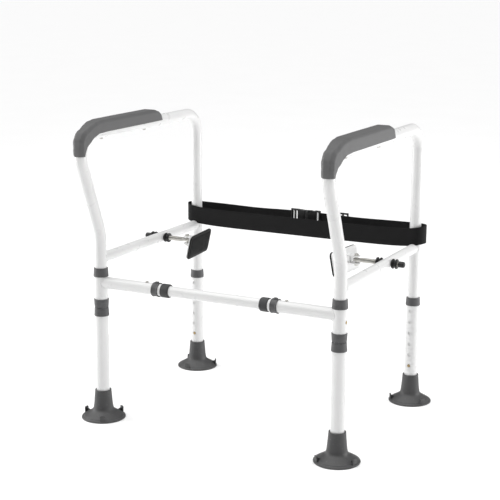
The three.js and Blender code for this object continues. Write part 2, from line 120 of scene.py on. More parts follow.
room_light = 0.2
world = bpy.data.worlds.new("white_room")
bpy.context.scene.world = world
world.use_nodes = True
background = world.node_tree.nodes["Background"]
background.inputs["Color"].default_value = (1, 1, 1, 1)
seen_directly = world.node_tree.nodes.new("ShaderNodeLightPath").outputs["Is Camera Ray"]
brightness = world.node_tree.nodes.new("ShaderNodeMapRange")
brightness.inputs["To Min"].default_value = room_light
brightness.inputs["To Max"].default_value = 1.0
world.node_tree.links.new(seen_directly, brightness.inputs["Value"])
world.node_tree.links.new(brightness.outputs["Result"], background.inputs["Strength"])


class Wire:
    """A shader socket that works in sums, so that a pattern is written as a formula."""

    def __init__(self, tree, socket):
        self.tree = tree
        self.socket = socket

    def node(self, kind, inputs, output=0, stops=None, **settings):
        node = self.tree.nodes.new("ShaderNode" + kind)
        for name, value in settings.items():
            setattr(node, name, value)
        if stops:
            while len(node.color_ramp.elements) < len(stops):
                node.color_ramp.elements.new(0.5)
            for element, (position, value) in zip(node.color_ramp.elements, stops):
                element.position = position
                element.color = (value, value, value, 1)
        for name, value in inputs.items():
            if isinstance(value, Wire):
                self.tree.links.new(value.socket, node.inputs[name])
            else:
                node.inputs[name].default_value = value
        return Wire(self.tree, node.outputs[output])

    def math(self, operation, *others):
        return self.node("Math", dict(enumerate((self, *others))), operation=operation)

    def __add__(self, other):
        return self.math("ADD", other)

    def __sub__(self, other):
        return self.math("SUBTRACT", other)

    def __rsub__(self, other):
        return self.node("Math", {0: other, 1: self}, operation="SUBTRACT")

    def __mul__(self, other):
        return self.math("MULTIPLY", other)

    __radd__ = __add__
    __rmul__ = __mul__

    def noise(self, scale, detail=2.0):
        return self.node("TexNoise", {"Vector": self, "Scale": scale, "Detail": detail}, "Fac")

    def ramp(self, *stops):
        return self.node("ValToRGB", {"Fac": self}, stops=stops)

    def colours(self, low, high):
        """Runs from low, a colour or a socket, to high."""
        low = low if isinstance(low, Wire) else (*low, 1)
        factor, first_colour, second_colour, colour_result = 0, 6, 7, 2
        inputs = {factor: self, first_colour: low, second_colour: (*high, 1)}
        return self.node("Mix", inputs, colour_result, data_type="RGBA")


def new_finish(name, coordinate="Object"):
    """A material with a bare Principled shader, and the surface's own coordinates."""
    material = bpy.data.materials.new(name)
    material.use_nodes = True
    tree = material.node_tree
    place = tree.nodes.new("ShaderNodeTexCoord").outputs[coordinate]
    return material, Wire(tree, place)


def coat_with(material, height=None, depth=0.0, **sockets):
    """Sets the shader's sockets, and bumps it by a height pattern that is depth metres deep."""
    shader = material.node_tree.nodes["Principled BSDF"]
    if height:
        bump = height.node("Bump", {"Height": height, "Strength": 1.0, "Distance": depth})
        sockets["Normal"] = bump
    for name, value in sockets.items():
        socket = shader.inputs[name.replace("_", " ")]
        if isinstance(value, Wire):
            material.node_tree.links.new(value.socket, socket)
        else:
            socket.default_value = value
    return material


def floor_finish():
    material, place = new_finish("white_floor")
    cloud = place.noise(3.0)
    return coat_with(
        material,
        Base_Color=cloud.colours((0.95, 0.95, 0.95), (0.97, 0.97, 0.97)),
        Roughness=0.75 + 0.1 * cloud,
        Specular_IOR_Level=0.2,
    )


floor_mesh = bpy.data.meshes.new("floor")
far = 60
floor_mesh.from_pydata([(-far, -far, 0), (far, -far, 0), (far, far, 0), (-far, far, 0)], [], [(0, 1, 2, 3)])
floor_mesh.materials.append(floor_finish())
floor = add_object("floor", floor_mesh)
gap_under_feet = 0.2 * MM
floor.location.z = -gap_under_feet

# ---- Steel tubes ---------------------------------------------------------------------------
# Every bar and leg is welded steel tube with a glossy white powder coat, which has a faint
# orange peel and flows over the welds.


def powder_coat():
    material, place = new_finish("white_powder_coat")
    cloud = place.noise(9.0, 3)
    peel = place.noise(620.0, 1)
    flow = place.noise(160.0, 1)
    return coat_with(
        material,
        height=0.6 * peel + flow,
        depth=0.035 * MM,
        Base_Color=cloud.colours((0.73, 0.73, 0.727), (0.79, 0.79, 0.787)),
        Roughness=0.24 + 0.1 * place.noise(45.0),
        Coat_Weight=0.25,
        Coat_Roughness=0.08,
    )


white_coat = powder_coat()
wall = 1.2 * MM


def in_mm(rows):
    """Rows of numbers in millimetres, in the scene's metres."""
    return [tuple(value * MM for value in row) for row in rows]


def rounded(corners, radius, closed=True, steps=4):
    """A 2-D outline with each corner eased by an arc-like curve; a corner may hold its own radius."""
    result = []
    count = len(corners)
    for i, corner in enumerate(corners):
        here = Vector(corner[:2])
        if not closed and i in (0, count - 1):
            result.append(here)
            continue
        ease = corner[2] if len(corner) > 2 else radius
        before = Vector(corners[i - 1][:2]) - here
        after = Vector(corners[(i + 1) % count][:2]) - here
        if ease <= 0 or before.length == 0 or after.length == 0:
            result.append(here)
            continue
        most = 0.48
        start = before.normalized() * min(ease, most * before.length)
        end = after.normalized() * min(ease, most * after.length)
        for k in range(steps + 1):
            t = k / steps
            result.append(here + start * (1 - t) ** 2 + end * t ** 2)
    return result


def skin(rings, closed=False):
    """Quads between rings of equal length, joined end to end or closed with a face at each end."""
    points = [point for ring in rings for point in ring]
    count = len(rings[0])
    faces = []
    for i in range(len(rings) if closed else len(rings) - 1):
        a, b = i * count, ((i + 1) % len(rings)) * count
        for k in range(count):
            m = (k + 1) % count
            faces.append((a + k, a + m, b + m, b + k))
    if not closed:
        faces.append(tuple(reversed(range(count))))
        last = (len(rings) - 1) * count
        faces.append(tuple(range(last, last + count)))
    return points, faces


def turns(sides):
    return [2 * pi * k / sides for k in range(sides)]


def turned(profile, sides=72, flutes=0, flute_depth=0.0, flute_from=0.0):
    """A profile of (radius, height) turned about Z. A closed profile makes a ring; one that starts
    and ends on the axis makes a solid. Flutes are shallow grooves in what lies beyond flute_from."""
    closed = profile[0][0] > 0
    on_axis = 1e-7
    rings = []
    for radius, height in profile:
        ring = []
        for turn in turns(sides):
            r = max(radius, on_axis)
            if flutes and radius > flute_from:
                r -= flute_depth * max(0.0, cos(flutes * turn)) ** 3
            ring.append(Vector((r * cos(turn), r * sin(turn), height)))
        rings.append(ring)
    return skin(rings, closed)


def lathed(profile, ease, sides=72, closed=True, steps=4, **flutes):
    """A profile in millimetres with its corners eased, turned about Z."""
    return turned(rounded(in_mm(profile), ease * MM, closed, steps), sides, **flutes)


def plain_rod(radius, low, high, sides=32):
    """A solid round bar about Z, in millimetres."""
    return turned(in_mm([(0, low), (radius, low), (radius, high), (0, high)]), sides)


def plain_tube(outer, low, high, ease, sides=72):
    """A length of tube about Z with eased ends."""
    inner = outer - wall
    return turned(rounded([(inner, low), (outer, low), (outer, high), (inner, high)], ease), sides)


def moved(shape, *steps):
    points, faces = shape
    matrix = Matrix.Identity(4)
    for step in steps:
        matrix = step @ matrix
    return [matrix @ Vector(point) for point in points], faces


def joined(*shapes):
    points, faces = [], []
    for some_points, some_faces in shapes:
        start = len(points)
        points += some_points
        faces += [tuple(start + i for i in face) for face in some_faces]
    return points, faces


def at(x, y, z):
    return Matrix.Translation((x, y, z))


def spun(degrees, axis):
    return Matrix.Rotation(radians(degrees), 4, axis)


def make_mesh(name, shape, crease=32):
    mesh = bpy.data.meshes.new(name)
    points, faces = shape
    mesh.from_pydata(points, [], faces)
    mesh.validate()
    work = bmesh.new()
    work.from_mesh(mesh)
    bmesh.ops.remove_doubles(work, verts=work.verts, dist=1e-6)
    bmesh.ops.dissolve_degenerate(work, edges=work.edges, dist=1e-7)
    bmesh.ops.recalc_face_normals(work, faces=work.faces)
    work.to_mesh(mesh)
    work.free()
    mesh.shade_smooth()
    mesh.set_sharp_from_angle(angle=radians(crease))
    return mesh


def make_piece(name, shape, paint, body, crease=32):
    mesh = make_mesh(name, shape, crease) if isinstance(shape, tuple) else shape
    mesh.materials.append(paint)
    piece = add_object(name, mesh)
    if body:
        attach(piece, body)
    return piece


def stand_for(node, shape, paint, crease=32):
    """The finished piece of one CAD node: it rides on the node's body, and the node itself is hidden."""
    piece = make_piece(node + "_fine", shape, paint, frame["nodes"][node]["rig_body"], crease)
    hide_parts(node)
    return piece


def centre_of(node):
    low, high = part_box(node)
    return (low + high) / 2


def drilled(shape, cutters):
    """The shape with other closed shapes cut out of it."""
    block = add_object("block", make_mesh("block", shape))
    tool = add_object("tool", make_mesh("tool", joined(*cutters)))
    cut = block.modifiers.new("cut", "BOOLEAN")
    cut.operation, cut.solver, cut.object = "DIFFERENCE", "EXACT", tool
    graph = bpy.context.evaluated_depsgraph_get()
    mesh = bpy.data.meshes.new_from_object(block.evaluated_get(graph))
    for item in (block, tool):
        bpy.data.objects.remove(item)
    points = [vertex.co.copy() for vertex in mesh.vertices]
    faces = [tuple(polygon.vertices) for polygon in mesh.polygons]
    bpy.data.meshes.remove(mesh)
    return points, faces


def tube_between(outer, inner, low, high, sides=72):
    """A tube along Z whose ends may be coped: low and high give the end's height at (x, y)."""
    def loop(radius, height):
        ring = []
        for turn in turns(sides):
            x, y = radius * cos(turn), radius * sin(turn)
            ring.append(Vector((x, y, height(x, y))))
        return ring
    return skin([loop(inner, low), loop(outer, low), loop(outer, high), loop(inner, high)], closed=True)


def weld(path, radius):
    """A weld bead along a closed path, with the ripples that the puddle leaves."""
    ripple, steps_per_ripple, sides = 0.1, 5, 12
    rings = []
    for i, here in enumerate(path):
        along = (path[(i + 1) % len(path)] - path[i - 1]).normalized()
        side = along.cross(Vector((0, 0, 1)) if abs(along.z) < 0.8 else Vector((1, 0, 0))).normalized()
        up = side.cross(along)
        swell = radius * (1 + ripple * cos(2 * pi * i / steps_per_ripple))
        rings.append([here + (side * cos(turn) + up * sin(turn)) * swell for turn in turns(sides)])
    return skin(rings, closed=True)


# ---- Crossbar ------------------------------------------------------------------------------
# The middle tube of the crossbar, 7/8 inch, slides in both stubs, which cover its pin holes
# at rest.

crossbar_low, crossbar_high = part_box("crossbar_tube")
crossbar = centre_of("crossbar_tube")
crossbar_radius = (crossbar_high.z - crossbar_low.z) / 2
half_crossbar = (crossbar_high.x - crossbar_low.x) / 2
hole_pitch = 25.4 * MM
first_pin_hole = 136.1 * MM
pin_hole_count, pin_hole_radius = 4, 2.9
bar = plain_tube(crossbar_radius, -half_crossbar, half_crossbar, 0.5 * MM)
pin_holes = []
for _, outward in SIDES:
    for step in range(pin_hole_count):
        along = outward * (first_pin_hole + step * hole_pitch)
        pin_holes.append(moved(plain_rod(pin_hole_radius, 0, 20, 24), at(*crossbar), at(along, 0, 0)))
bar = drilled(moved(bar, spun(90, "Y"), at(*crossbar)), pin_holes)
stand_for("crossbar_tube", bar, white_coat)

# ---- Arm rails -----------------------------------------------------------------------------
# Each arm is one 1 inch tube: up from the front leg, leaning forward, bent over into the
# armrest and down into the rear leg, with a side bar welded across between its uprights.

armrest_z, lean_start_z = 622 * MM, 407 * MM
lean_bend, front_bend, rear_bend = 90 * MM, 45 * MM, 50 * MM
overhang = (armrest_z - lean_start_z) * tan(radians(22.1))


def bent_route(corners, degrees_per_step=2.5):
    """Places and headings along a route whose corners, (place, bend radius), are rounded."""
    places = [place for place, _ in corners]
    heading = [(b - a).normalized() for a, b in zip(places, places[1:])]
    route = [(places[0], heading[0])]
    for i in range(1, len(places) - 1):
        before, after, radius = heading[i - 1], heading[i], corners[i][1]
        turn = before.angle(after)
        axis = before.cross(after).normalized()
        start = places[i] - before * radius * tan(turn / 2)
        centre = start + axis.cross(before) * radius
        steps = ceil(turn / radians(degrees_per_step))
        for k in range(steps + 1):
            swing = Matrix.Rotation(turn * k / steps, 3, axis)
            route.append((centre + swing @ (start - centre), swing @ before))
    route.append((places[-1], heading[-1]))
    return route


def swept_tube(route, outer, inner, sides=64):
    def loop(place, along, radius):
        side = Vector((1, 0, 0))
        up = side.cross(along)
        return [place + (side * cos(turn) + up * sin(turn)) * radius for turn in turns(sides)]
    outside = [loop(place, along, outer) for place, along in route]
    inside = [loop(place, along, inner) for place, along in reversed(route)]
    return skin(outside + inside, closed=True)


def coped(half, radius):
    """The end of a tube, half a length out, that is cut to sit on a round tube across it."""
    return lambda a, b: half - sqrt(max(0, radius ** 2 - a ** 2))


def saddle_weld(start, across, away, tube, upright, thickness, proud, steps):
    """A weld bead where a tube meets a round upright; start is on the upright's axis."""
    just_outside = 1.02
    bead = just_outside * tube
    path = []
    for turn in turns(steps):
        a = bead * cos(turn)
        reach = sqrt(upright ** 2 - a ** 2) + proud
        path.append(start + Vector(across) * a + Vector(away) * reach + Vector((0, 0, bead * sin(turn))))
    return weld(path, thickness)


arm_radius = 12.7 * MM
for side, _ in SIDES:
    low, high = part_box(f"{side}_arm_tube")
    x = (low.x + high.x) / 2
    front_y, rear_y = [centre_of(f"{side}_{end}_leg_tube").y for end in ("front", "rear")]
    route = bent_route([
        (Vector((x, front_y, low.z)), 0),
        (Vector((x, front_y, lean_start_z)), lean_bend),
        (Vector((x, front_y - overhang, armrest_z)), front_bend),
        (Vector((x, rear_y, armrest_z)), rear_bend),
        (Vector((x, rear_y, low.z)), 0),
    ])
    stand_for(f"{side}_arm_tube", swept_tube(route, arm_radius, arm_radius - wall), white_coat, crease=60)

    bar_node = f"{side}_side_bar"
    low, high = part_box(bar_node)
    bar_radius = (high.z - low.z) / 2
    middle = centre_of(bar_node)
    half = (rear_y - front_y) / 2
    saddle = coped(half, arm_radius)
    side_bar = tube_between(bar_radius, bar_radius - wall, lambda a, b: -saddle(a, b), saddle)
    rod_place = at(x, centre_of(f"{side}_clamp_rod").y, middle.z)
    rod_hole = moved(plain_rod(5.4, -20, 20), spun(90, "Y"), rod_place)
    side_bar = moved(side_bar, spun(-90, "X"), at(x, (front_y + rear_y) / 2, middle.z))
    stand_for(bar_node, drilled(side_bar, [rod_hole]), white_coat, crease=50)
    for end, inward in ENDS:
        start = Vector((x, front_y if end == "front" else rear_y, middle.z))
        bead = saddle_weld(start, (1, 0, 0), (0, inward, 0), bar_radius, arm_radius, 1.5 * MM, 0.4 * MM, 90)
        make_piece(f"{side}_{end}_side_bar_weld", bead, white_coat, f"{side}_side")

# ---- Tees ----------------------------------------------------------------------------------
# A sleeve of 1 1/8 inch tube slips over each front upright, with the 1 inch stub that takes
# the crossbar welded to its inner side.

sleeve_radius = 14.3 * MM
stub_radius = 12.7 * MM
spring_rise = 6 * MM


def stepped_hole(radius, start, rim_radius, rim_start, rim_end, end):
    """A cutter along Z for a button's hole and the clearance round its mouth, in millimetres."""
    return turned(in_mm([
        (0, start), (radius, start), (radius, rim_start), (rim_radius, rim_end), (rim_radius, end), (0, end),
    ]), 32)


for side, outward in SIDES:
    node = f"{side}_tee"
    low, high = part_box(node)
    leg = centre_of(f"{side}_front_leg_tube")
    sleeve = plain_tube(sleeve_radius, low.z, high.z, 0.5 * MM)
    button_z = centre_of(f"{side}_tee_button").z - spring_rise
    button_hole = moved(stepped_hole(3.8, 5, 4.6, 14, 14.6, 17), spun(outward * 90, "Y"), at(0, 0, button_z))
    sleeve = drilled(sleeve, [button_hole])
    reach_x = abs(leg.x) - min(abs(low.x), abs(high.x))
    stub = tube_between(stub_radius, stub_radius - wall,
                        lambda a, b: sqrt(max(0, (sleeve_radius - 0.5 * MM) ** 2 - b ** 2)),
                        lambda a, b: reach_x)
    stub = moved(stub, spun(-outward * 90, "Y"), at(0, 0, crossbar.z))
    stand_for(node, moved(joined(sleeve, stub), at(leg.x, leg.y, 0)), white_coat, crease=40)
    start = Vector((leg.x, leg.y, crossbar.z))
    bead = saddle_weld(start, (0, 1, 0), (-outward, 0, 0), stub_radius, sleeve_radius,
                       1.4 * MM, 0.3 * MM, 100)
    make_piece(f"{side}_tee_weld", bead, white_coat, f"{side}_side")

# ---- Caps ----------------------------------------------------------------------------------
# Dark grey moulded rings pushed over the tube ends. Each tapers from its open mouth, on the
# outer tube, to the lip that steadies the inner tube, and has shallow grooves near the mouth.


def cloudy_finish(name, cloud, grain, depth, low, high, smooth, rougher, **sockets):
    """A finish that clouds from the colour low to high, rougher where it is lighter, and bumped by
    a grain that is depth millimetres deep. Cloud and grain are (scale, detail) of their noise."""
    material, place = new_finish(name)
    mottle = place.noise(*cloud)
    return coat_with(
        material,
        height=place.noise(*grain),
        depth=depth * MM,
        Base_Color=mottle.colours(low, high),
        Roughness=smooth + rougher * mottle,
        **sockets,
    )


cap_plastic = cloudy_finish(
    "dark_grey_plastic", (60.0, 3), (2600.0, 2), 0.03,
    (0.062, 0.062, 0.064), (0.086, 0.086, 0.088), 0.36, 0.2,
)


def cap(bottom, top, lip_at_top):
    """A ring cap about Z, drawn with its lip at the top and turned over where the lip is below."""
    tall = (top - bottom) / MM
    wide, narrow, lip = 14.42, 12.85, 4
    mouth, lip_end = 16.2, 14.9
    taper = mouth - lip_end
    groove_depth = 0.4
    profile = [(wide, 0), (mouth - 0.2, 0, 0.9)]
    for step in (0.17, 0.29, 0.41):
        rim = mouth - taper * step
        profile += [
            (rim, step * tall - 0.7, 0.3),
            (rim - groove_depth, step * tall, 0.3),
            (rim - 0.03, step * tall + 0.7, 0.3),
        ]
    profile += [
        (lip_end, tall, 1.4),
        (narrow, tall, 0.4),
        (narrow, tall - lip),
        (wide, tall - lip),
    ]
    shape = lathed(profile, 0.2, 96)
    if lip_at_top:
        return moved(shape, at(0, 0, bottom))
    return moved(shape, spun(180, "X"), at(0, 0, top))


cap_nodes = []
for side, _ in SIDES:
    cap_nodes += [(f"{side}_tee_upper_cap", True), (f"{side}_tee_lower_cap", False)]
    cap_nodes += [(f"{side}_{end}_leg_cap", True) for end, _ in ENDS]
for node, lip_at_top in cap_nodes:
    low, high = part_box(node)
    middle = centre_of(node)
    stand_for(node, moved(cap(low.z, high.z, lip_at_top), at(middle.x, middle.y, 0)), cap_plastic)

# ---- Crossbar locks ------------------------------------------------------------------------
# On each stub: a knurled nut that grips the middle tube, a ring collar with a thumb bump on
# top, and a sprung pin that drops into one hole of the middle tube.

zinc = cloudy_finish(
    "zinc_plated_steel", (150.0, 4), (1500.0, 2), 0.015,
    (0.44, 0.43, 0.40), (0.62, 0.61, 0.58), 0.24, 0.22, Metallic=1.0,
)
nut_plastic = cloudy_finish(
    "dark_nut_plastic", (80.0, 3), (2600.0, 2), 0.03,
    (0.028, 0.028, 0.029), (0.045, 0.045, 0.046), 0.34, 0.2,
)
for side, outward in SIDES:
    node = f"{side}_lock_nut"
    low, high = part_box(node)
    length, nut_radius = (high.x - low.x) / MM, (high.z - low.z) / 2 / MM
    bore, stub_bore, lip = crossbar_radius / MM + 0.12, stub_radius / MM + 0.12, 3
    nut = lathed([
        (bore, 0, 0.5),
        (nut_radius - 1.6, 0, 1),
        (nut_radius, 2.2, 1),
        (nut_radius, length - 1.2, 0.8),
        (nut_radius - 1, length, 0.4),
        (stub_bore, length),
        (stub_bore, lip),
        (bore, lip),
    ], 0.2, 240, flutes=40, flute_depth=0.35 * MM, flute_from=(nut_radius - 0.7) * MM)
    start_x = low.x if outward > 0 else high.x
    nut = moved(nut, spun(outward * 90, "Y"), at(start_x, crossbar.y, crossbar.z))
    stand_for(node, nut, nut_plastic, crease=40)

    node = f"{side}_ring_collar"
    low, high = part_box(node)
    length = (high.x - low.x) / MM
    band, band_end = 14.5, 15.3
    collar = lathed([
        (stub_bore, 0),
        (band_end, 0, 0.8),
        (band_end, 1.2, 0.6),
        (band, 2.6, 1.2),
        (band, length - 2.6, 1.2),
        (band_end, length - 1.2, 0.6),
        (band_end, length, 0.8),
        (stub_bore, length),
    ], 0.2, 96)
    collar = moved(collar, spun(90, "Y"), at(low.x, crossbar.y, crossbar.z))
    bump_top, foot_of_bump = (high.z - crossbar.z) / MM, band - 1.2
    bump_outline = rounded([(-4.5, -4), (4.5, -4), (4.5, 4), (-4.5, 4)], 2.6)
    bump = []
    for share in (0, 0.3, 0.5, 0.7, 0.85, 0.95, 1):
        shrink = 1 - 0.28 * share ** 3
        height = foot_of_bump + (bump_top - foot_of_bump) * share
        bump.append([Vector((p.x * shrink, p.y * shrink, height)) * MM for p in bump_outline])
    bump = moved(skin(bump), at(centre_of(node).x, crossbar.y, crossbar.z))
    stand_for(node, joined(collar, bump), cap_plastic, crease=40)

    node = f"{side}_pull_pin"
    middle = centre_of(node)
    head = stub_radius / MM + 0.2
    pin_top = (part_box(node)[1].z - crossbar.z) / MM
    pin = lathed([
        (0, 7.6),
        (2.3, 7.6, 0.5),
        (2.3, head),
        (3.55, head, 0.3),
        (3.55, pin_top - 0.9, 0.5),
        (2.8, pin_top, 0.8),
        (0, pin_top),
    ], 0.2, 48, False)
    stand_for(node, moved(pin, at(middle.x, middle.y, crossbar.z)), zinc, crease=40)

# ---- Snap buttons --------------------------------------------------------------------------
# Each tube that telescopes is held by a brass button on a leaf spring inside it, which pops
# out through the holes of the outer tube.

brass = cloudy_finish(
    "snap_button_brass", (420.0, 3), (1800.0, 2), 0.02,
    (0.34, 0.25, 0.13), (0.48, 0.37, 0.21), 0.26, 0.2, Metallic=1.0,
)


def snap_button():
    """The button points along +Z from the axis of its tube, with its spring behind it."""
    tip, shoulder, pin_radius = 15.1, 5.2, 3.25
    pin = lathed([
        (0, shoulder),
        (pin_radius, shoulder),
        (pin_radius, tip, 2.2),
        (1.0, tip, 0.3),
        (0.5, tip - 0.5, 0.3),
        (0, tip - 0.55),
    ], 0.3, 48, False)
    leaf = bent_route([
        (Vector((5, 0, 5.5)) * MM, 0),
        (Vector((-18, 0, 6.0)) * MM, 4 * MM),
        (Vector((-18, 0, -4.2)) * MM, 4 * MM),
        (Vector((3, 0, -5.0)) * MM, 0),
    ], 15)
    across = Vector((0, 3, 0)) * MM
    spring = []
    for place, along in leaf:
        face = along.cross(Vector((0, 1, 0))) * 0.3 * MM
        corners = [across + face, face - across, -across - face, across - face]
        spring.append([place + corner for corner in corners])
    return joined(pin, skin(spring))


button_above_spring_end = 7 * MM
for side, outward in SIDES:
    middle = centre_of(f"{side}_front_leg_tube")
    level = centre_of(f"{side}_tee_button").z - spring_rise
    facing = spun(0 if outward > 0 else 180, "Z")
    shape = moved(snap_button(), spun(90, "Y"), facing, at(middle.x, middle.y, level))
    stand_for(f"{side}_tee_button", shape, brass)
    for end, inward in ENDS:
        node = f"{side}_{end}_leg_button"
        middle = centre_of(f"{side}_{end}_leg_tube")
        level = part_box(node)[0].z + button_above_spring_end
        shape = moved(snap_button(), spun(90, "Y"), spun(inward * 90, "Z"), at(middle.x, middle.y, level))
        stand_for(node, shape, brass)

# ---- Grips ---------------------------------------------------------------------------------
# A moulded grey saddle on each arm, from the front bend back over the armrest. It lies on the
# tube, has a flat top with bevelled edges and a waist behind its nose, reaches lower on its
# outer side than on its inner side, and is held by two screws from beneath.


def grip_finish():
    material, place = new_finish("grip_plastic")
    cloud = place.noise(26.0, 3)
    grain = place.noise(1500.0, 2)
    leather = place.node("TexVoronoi", {"Vector": place, "Scale": 1100.0}, "Distance")
    return coat_with(
        material,
        height=0.5 * grain + leather,
        depth=0.06 * MM,
        Base_Color=cloud.colours((0.102, 0.102, 0.103), (0.126, 0.126, 0.127)),
        Roughness=0.5 + 0.12 * cloud,
        Specular_IOR_Level=0.4,
    )


grip_plastic = grip_finish()
grip_bore = 13.0 * MM
nose_overhang = 20.6 * MM


def between(stops, x):
    """A smooth value between (x, value) stops."""
    if x <= stops[0][0]:
        return stops[0][1]
    for (x0, v0), (x1, v1) in zip(stops, stops[1:]):
        if x <= x1:
            t = (x - x0) / (x1 - x0)
            return v0 + (v1 - v0) * t * t * (3 - 2 * t)
    return stops[-1][1]


def grip_shape(x, outward, front_y, bottom, rear_end):
    """The saddle is drawn as U sections along the tube; run is the distance along its axis past
    the end of the front bend, and rise is the distance out from the axis."""
    bend_end = front_y - nose_overhang
    bend_z = armrest_z - front_bend
    nose_turn = asin((bottom - bend_z) / front_bend)
    last = rear_end - bend_end
    first = -(pi / 2 - nose_turn) * front_bend

    def place(across, run, rise):
        if run < 0:
            turn = run / front_bend
            radius = front_bend + rise
            return Vector((x + across, bend_end + radius * sin(turn), bend_z + radius * cos(turn)))
        return Vector((x + across, bend_end + run, armrest_z + rise))

    def top_rise(run):
        if run < 0:
            degrees = 90 + run / front_bend * 180 / pi
            stops = [(4, 14.1), (20, 16.9), (35, 23.6), (49, 25.2), (61, 21.6), (75, 22.4), (90, 25.3)]
            return between(stops, degrees) * MM
        stops = [(0, 25.3), (20, 27.4), (120, 27.8), (221, 28), (249, 22.8), (261, 18.5)]
        return between(stops, run / MM) * MM

    def half_width(run):
        stops = [(-67, 13.5), (-40, 14.2), (-22, 15.2), (0, 16.9),
                 (24, 18), (221, 18), (246, 17.4), (259, 15.6)]
        return between(stops, run / MM) * MM

    def bevel(run):
        return between([(-67, 7.0), (-30, 6.8), (-10, 5.6), (20, 5.2), (259, 5.2)], run / MM) * MM

    def wall_edge(run, on_outer_side):
        """The outer wall reaches lower than the inner wall, and both reach lowest in the bend."""
        if on_outer_side:
            stops = [(-67, 0.6), (-50, -4.0), (-33, -10.0), (-14, -8.6), (4, -3.8), (30, -1.8), (259, -1.5)]
        else:
            stops = [(-67, 2.6), (-50, 0.2), (-33, -4.6), (-14, -3.2), (4, 0.4), (30, 1.8), (259, 2.0)]
        return between(stops, run / MM) * MM

    def section(run, inset):
        wide, high, edge = half_width(run) - inset, top_rise(run) - inset, bevel(run)
        right_low, left_low = [wall_edge(run, outward == sign) for sign in (1, -1)]
        right_reach, left_reach = [sqrt(grip_bore ** 2 - low ** 2) for low in (right_low, left_low)]
        wall_ease, top_ease = 1.0 * MM, 2.2 * MM
        outer = rounded([
            (right_reach + 0.15 * inset, right_low),
            (wide, right_low),
            (wide, high - edge, top_ease),
            (wide - edge, high, top_ease),
            (edge - wide, high, top_ease),
            (-wide, high - edge, top_ease),
            (-wide, left_low),
            (-left_reach - 0.15 * inset, left_low),
        ], wall_ease, False, 5)
        start, end = pi - asin(left_low / grip_bore), asin(right_low / grip_bore)
        inner = []
        for k in range(1, 32):
            turn = start + (end - start) * k / 32
            inner.append(Vector((grip_bore * cos(turn), grip_bore * sin(turn))))
        return outer + inner

    easing = in_mm([(0, 1.4), (0.25, 0.75), (0.8, 0.3), (1.8, 0.0)])
    eased = easing[-1][0]
    bend_steps, straight_steps = 34, 46
    body_runs = [(first + eased) * (1 - k / bend_steps) for k in range(1, bend_steps)]
    body_runs += [(last - eased) * k / straight_steps for k in range(straight_steps)]
    runs = [(first + edge, inset) for edge, inset in easing]
    runs += [(run, 0) for run in body_runs]
    runs += [(last - edge, inset) for edge, inset in reversed(easing)]

    level_length, slant_length = 30 * MM, 34 * MM
    rings = []
    for run, inset in runs:
        ring = []
        for point in section(run, inset):
            level_end = (asin((bottom - bend_z) / (front_bend + point.y)) - nose_turn) * front_bend
            to_front = max(0, 1 - (run - first) / level_length) ** 2
            to_rear = max(0, 1 - (last - run) / slant_length) ** 2
            slant = -0.5 * (point.y - wall_edge(last, True))
            ring.append(place(point.x, run + level_end * to_front + slant * to_rear, point.y))
        rings.append(ring)
    return skin(rings)


def screw_shape(under, tip):
    """A pan-head screw about Z with its head down and a cross recess in it, in millimetres."""
    head, shaft = 4.3, 2.1
    tall = 2.6
    body = lathed([
        (0, under - tall),
        (head * 0.6, under - tall, 0.8),
        (head, under - 0.9, 1.1),
        (head, under, 0.1),
        (shaft, under, 0.2),
        (shaft, tip - 2),
        (0.3, tip, 0.2),
        (0, tip),
    ], 0.2, 48, False)
    for turn in (45, 135):
        outline = [(-2.4, -0.45), (2.4, -0.45), (2.4, 0.45), (-2.4, 0.45)]
        rings = [[Vector((x * share, y, under - tall + height)) * MM for x, y in outline]
                 for height, share in ((-1, 1.15), (1.5, 0.5))]
        body = drilled(body, [moved(skin(rings), spun(turn, "Z"))])
    return body


for side, outward in SIDES:
    node = f"{side}_grip"
    low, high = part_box(node)
    x = centre_of(f"{side}_arm_tube").x
    front_y = centre_of(f"{side}_front_leg_tube").y
    stand_for(node, grip_shape(x, outward, front_y, low.z, high.y), grip_plastic, crease=36)
    for end in ("front", "rear"):
        node = f"{side}_grip_screw_{end}"
        middle = centre_of(node)
        screw = screw_shape((armrest_z - arm_radius) / MM - 0.1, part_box(node)[1].z / MM)
        stand_for(node, moved(screw, at(middle.x, middle.y, 0)), zinc, crease=40)

# ---- Legs ----------------------------------------------------------------------------------
# The lower legs are 1 1/8 inch tube that slides over the arm uprights, with a row of six holes
# on the face that the snap button looks out of.


def round_normals(piece, middle, reach):
    """Shades the outside of a vertical tube as truly round where holes break up its faces."""
    mesh = piece.data
    normals = [corner.vector.copy() for corner in mesh.corner_normals]
    for polygon in mesh.polygons:
        for loop in polygon.loop_indices:
            place = mesh.vertices[mesh.loops[loop].vertex_index].co
            radial = Vector((place.x - middle.x, place.y - middle.y, 0))
            on_outside = abs(radial.length - reach) < 0.05 * MM
            faces_outward = polygon.normal.dot(radial.normalized()) > 0.98
            if on_outside and faces_outward:
                normals[loop] = radial.normalized()
    mesh.normals_split_custom_set(normals)


hole_count = 6
for side, _ in SIDES:
    for end, inward in ENDS:
        node = f"{side}_{end}_leg_tube"
        low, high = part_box(node)
        middle = centre_of(node)
        tube = plain_tube(sleeve_radius, low.z, high.z, 0.4 * MM, 96)
        lowest_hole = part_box(f"{side}_{end}_leg_button")[0].z + button_above_spring_end
        cutter = moved(stepped_hole(3.75, 8, 4.4, 14, 14.5, 18), spun(-inward * 90, "X"))
        cutters = [moved(cutter, at(0, 0, lowest_hole + step * hole_pitch)) for step in range(hole_count)]
        tube = moved(drilled(tube, cutters), at(middle.x, middle.y, 0))
        leg = stand_for(node, tube, white_coat, crease=50)
        round_normals(leg, middle, sleeve_radius)

